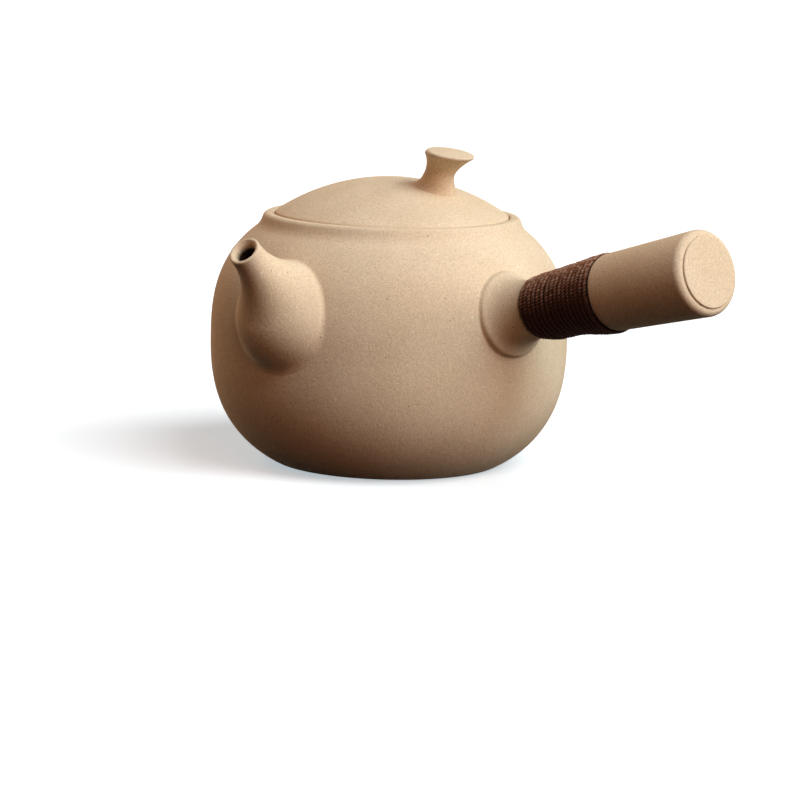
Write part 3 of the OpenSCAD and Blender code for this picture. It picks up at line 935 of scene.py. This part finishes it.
def clay_material():
    """Unglazed sandy stoneware: mottled buff clay with fine grain, specks and small pits, and painted shade
    that darkens the clay deep in the spout's bore.
    """
    material, nodes = new_material("sandy_clay")
    place = millimetres(nodes)
    mottle = nodes.ramp(nodes.noise(place, scale=0.05, detail=2.0, rough=0.5), 0.3, 0.7)
    grain = nodes.noise(place, scale=1.5, detail=3.0, rough=0.75)
    colour = nodes.mix(mottle, CLAY_PALE, CLAY_DEEP)
    shade = nodes.ramp(grain, 0.28, 0.72, to_low=0.82, to_high=1.10)
    colour = nodes.mix(1.0, colour, shade, "MULTIPLY")
    dark = specks(nodes, place, scale=0.42, size=0.13, share=0.35)
    pale = specks(nodes, place, scale=0.45, size=0.17, share=0.35)
    colour = nodes.mix(nodes.math("MULTIPLY", pale, SPECK_PALE_SHARE), colour, SPECK_PALE)
    colour = nodes.mix(nodes.math("MULTIPLY", dark, SPECK_DARK_SHARE), colour, SPECK_DARK)
    # Painted shade deep in the spout's bore
    bore_shade = nodes.add("ShaderNodeAttribute", attribute_name="bore_shade")
    colour = nodes.mix(bore_shade.outputs["Fac"], colour, BORE_SHADE_COLOUR)
    pits = specks(nodes, place, scale=0.3, size=0.12, share=0.5)
    height = nodes.math("ADD", grain, nodes.math("MULTIPLY", pits, PIT_DEPTH))
    swell = nodes.noise(place, scale=0.5, detail=3.0, rough=0.55)
    coarse = nodes.bump(swell, strength=0.38, distance=0.25)
    normal = nodes.bump(height, strength=0.65, distance=0.16, normal=coarse)
    roughness = nodes.ramp(grain, 0.3, 0.7, to_low=0.82, to_high=0.95)
    finish_surface(nodes, colour, roughness, normal, CLAY_SPECULAR)
    return material


# Near-black painted shade between turns and strands, the twine's own dark brown, a lighter brown painted as
# light on the upper side, and pale fibre specks painted as glints there
CORD_GROOVE_SHADE = (0.005, 0.002, 0.0015, 1)
CORD_DARK = (0.08, 0.03, 0.019, 1)
CORD_TOP_LIGHT = (0.42, 0.155, 0.072, 1)
CORD_PALE = (0.80, 0.55, 0.39, 1)
FIBRE_STRETCH = (5.0, 5.0, 0.9)
CORD_SPECULAR = 0.04


def upward(nodes):
    """One where the surface faces up, falling to zero where it faces sideways and down."""
    facing = nodes.add("ShaderNodeTexCoord")
    split = nodes.add("ShaderNodeSeparateXYZ")
    nodes.link(facing.outputs["Normal"], split.inputs["Vector"])
    return nodes.ramp(split.outputs["Z"], -0.05, 0.85)


def cord_material():
    """Dark brown twine, with painted shade that turns it black between turns and strands, and painted light
    on the upper side: a lighter brown top with pale fibre specks painted as glints.
    """
    material, nodes = new_material("brown_twine")
    fibre = nodes.add("ShaderNodeAttribute", attribute_name="fibre")
    crest = nodes.add("ShaderNodeAttribute", attribute_name="crest")
    outer = nodes.add("ShaderNodeAttribute", attribute_name="outer")
    stretch = nodes.add("ShaderNodeVectorMath", operation="MULTIPLY")
    nodes.link(fibre.outputs["Vector"], stretch.inputs[0])
    stretch.inputs[1].default_value = FIBRE_STRETCH
    threads = nodes.noise(stretch.outputs["Vector"], scale=1.0, detail=3.0, rough=0.7)
    fibre_patches = nodes.noise(millimetres(nodes), scale=0.7, detail=3.0, rough=0.6)
    # Painted shade: the colour falls towards near black in the grooves between strands and between turns
    strand = nodes.ramp(crest.outputs["Fac"], 0.1, 0.85, to_low=0.45)
    ridge = nodes.ramp(outer.outputs["Fac"], 0.45, 0.95, to_low=0.1)
    raised = nodes.math("MULTIPLY", strand, ridge)
    body = nodes.math("MULTIPLY", raised, nodes.ramp(threads, 0.32, 0.62, to_low=0.2))
    # Painted light: the twine is lighter brown where it faces up
    lit_top = upward(nodes)
    colour = nodes.mix(body, CORD_GROOVE_SHADE, nodes.mix(lit_top, CORD_DARK, CORD_TOP_LIGHT))
    # Pale fibre specks on raised strands of the upper side, painted as glints
    fibre_glints = nodes.math("MULTIPLY", nodes.ramp(threads, 0.48, 0.58), nodes.ramp(fibre_patches, 0.42, 0.54))
    fibre_glints = nodes.math("MULTIPLY", fibre_glints, nodes.math("MULTIPLY", raised, lit_top))
    colour = nodes.mix(fibre_glints, colour, CORD_PALE)
    roughness = nodes.ramp(threads, 0.3, 0.7, to_low=0.7, to_high=0.9)
    normal = nodes.bump(threads, strength=0.6, distance=0.12)
    finish_surface(nodes, colour, roughness, normal, CORD_SPECULAR)
    return material


# Stage

FLOOR_HALF = 9000.0
FLOOR_DROP = 0.1
FLOOR_SEEN = (0.835, 0.752, 0.712, 1)
FLOOR_BOUNCE = (0.02, 0.014, 0.010, 1)
FLOOR_GLOW = (0.395, 0.474, 0.508, 1)
WORLD_FILL = (0.006, 0.004, 0.003, 1)
WHITE = (1, 1, 1, 1)

# Lamps: name, turn from picture right towards the camera, rise and spread, all three in degrees, and the
# colour times the strength
LAMPS = (
    ("side", 15, 26, 50, (0.585, 0.60, 0.605)),
    ("key", 45, 51, 38, (0.565, 0.72, 0.80)),
    ("front", 72, 28, 45, (0.275, 0.132, 0.082)),
    ("fill", 225, 12, 60, (0.60, 0.39, 0.265)),
)


def seen_directly(nodes):
    """One for camera, glossy and transmission rays, and zero for diffuse ones."""
    path = nodes.add("ShaderNodeLightPath")
    seen = nodes.math("MAXIMUM", path.outputs["Is Camera Ray"], path.outputs["Is Glossy Ray"])
    return nodes.math("MAXIMUM", seen, path.outputs["Is Transmission Ray"])


def floor_material():
    """White paper to the eye, and a dull floor for the light that it throws back."""
    material, nodes = new_material("pale_floor")
    seen = seen_directly(nodes)
    matte = nodes.add("ShaderNodeBsdfDiffuse")
    nodes.link(nodes.mix(seen, FLOOR_BOUNCE, FLOOR_SEEN), matte.inputs["Color"])
    glow = nodes.add("ShaderNodeEmission")
    glow.inputs["Color"].default_value = FLOOR_GLOW
    nodes.link(seen, glow.inputs["Strength"])
    both = nodes.add("ShaderNodeAddShader")
    nodes.link(matte.outputs["BSDF"], both.inputs[0])
    nodes.link(glow.outputs["Emission"], both.inputs[1])
    out = nodes.add("ShaderNodeOutputMaterial")
    nodes.link(both.outputs["Shader"], out.inputs["Surface"])
    return material


def make_floor():
    half = FLOOR_HALF * MM
    level = -FLOOR_DROP * MM
    mesh = bpy.data.meshes.new("floor")
    mesh.from_pydata([(x * half, y * half, level) for x, y in ((-1, -1), (1, -1), (1, 1), (-1, 1))], [],
                     [(0, 1, 2, 3)])
    floor = add_object("floor", mesh)
    mesh.materials.append(floor_material())


def make_world():
    world = bpy.data.worlds.new("studio")
    world.use_nodes = True
    bpy.context.scene.world = world
    nodes = Nodes(world.node_tree)
    back = nodes.add("ShaderNodeBackground")
    nodes.link(nodes.mix(seen_directly(nodes), WORLD_FILL, WHITE), back.inputs["Color"])
    out = nodes.add("ShaderNodeOutputWorld")
    nodes.link(back.outputs["Background"], out.inputs["Surface"])


PICTURE_RIGHT = np.array([-math.sin(CAMERA_TURN), math.cos(CAMERA_TURN), 0])
TOWARDS_CAMERA = np.array([math.cos(CAMERA_TURN), math.sin(CAMERA_TURN), 0])


def make_lamp(name, turn, rise, spread, colour):
    """Distant soft lamp. A white surface that faces it shows its colour."""
    lamp = bpy.data.lights.new(name, "SUN")
    lamp.energy = math.pi
    lamp.color = colour
    lamp.angle = math.radians(spread)
    turn = math.radians(turn)
    rise = math.radians(rise)
    level = math.cos(turn) * PICTURE_RIGHT + math.sin(turn) * TOWARDS_CAMERA
    way = math.cos(rise) * level + math.sin(rise) * UP
    thing = add_object(name, lamp)
    thing.rotation_mode = "QUATERNION"
    thing.rotation_quaternion = Vector(way).to_track_quat("Z", "Y")


def make_camera():
    data = bpy.data.cameras.new("camera")
    data.lens = CAMERA_LENS
    data.sensor_width = CAMERA_SENSOR
    data.dof.use_dof = False
    camera = add_object("camera", data)
    back = math.cos(CAMERA_RISE) * TOWARDS_CAMERA + math.sin(CAMERA_RISE) * UP
    level_up = np.cross(back, PICTURE_RIGHT)
    right = math.cos(CAMERA_ROLL) * PICTURE_RIGHT + math.sin(CAMERA_ROLL) * level_up
    up = math.cos(CAMERA_ROLL) * level_up - math.sin(CAMERA_ROLL) * PICTURE_RIGHT
    place = TARGET_RIGHT * PICTURE_RIGHT + TARGET_Z * UP + CAMERA_AWAY * back
    matrix = np.eye(4)
    matrix[:3] = np.stack([right, up, back, place * MM], 1)
    camera.matrix_world = Matrix(matrix.tolist())
    bpy.context.scene.camera = camera


def dress(piece, node, body, material):
    """Gives a piece its material, its body and the solid that it stands for."""
    piece.data.materials.append(material)
    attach(piece, body)
    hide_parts(node)


# Pieces: the function that makes one, the solid that it stands for, its body and its slot
PIECES = (
    (make_pot, "pot_body", "kettle", "clay"),
    (make_spout, "spout", "kettle", "clay"),
    (make_socket, "handle_socket", "kettle", "clay"),
    (make_grip, "handle_grip", "kettle", "clay"),
    (make_plug, "handle_end_plug", "kettle", "clay"),
    (make_binding, "cord_binding", "kettle", "cord"),
    (make_dome, "lid_dome", "lid", "clay"),
    (make_tongue, "lid_tongue", "lid", "clay"),
    (make_knob, "lid_knob", "lid", "clay"),
)


def main():
    bpy.context.scene.view_settings.view_transform = "Standard"
    make_camera()
    make_world()
    for lamp in LAMPS:
        make_lamp(*lamp)
    make_floor()
    materials = {"clay": clay_material(), "cord": cord_material()}
    for make, node, body, slot in PIECES:
        dress(make(), node, body, materials[slot])
    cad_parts["spout_strainer"].material_slots[0].material = materials["clay"]


main()
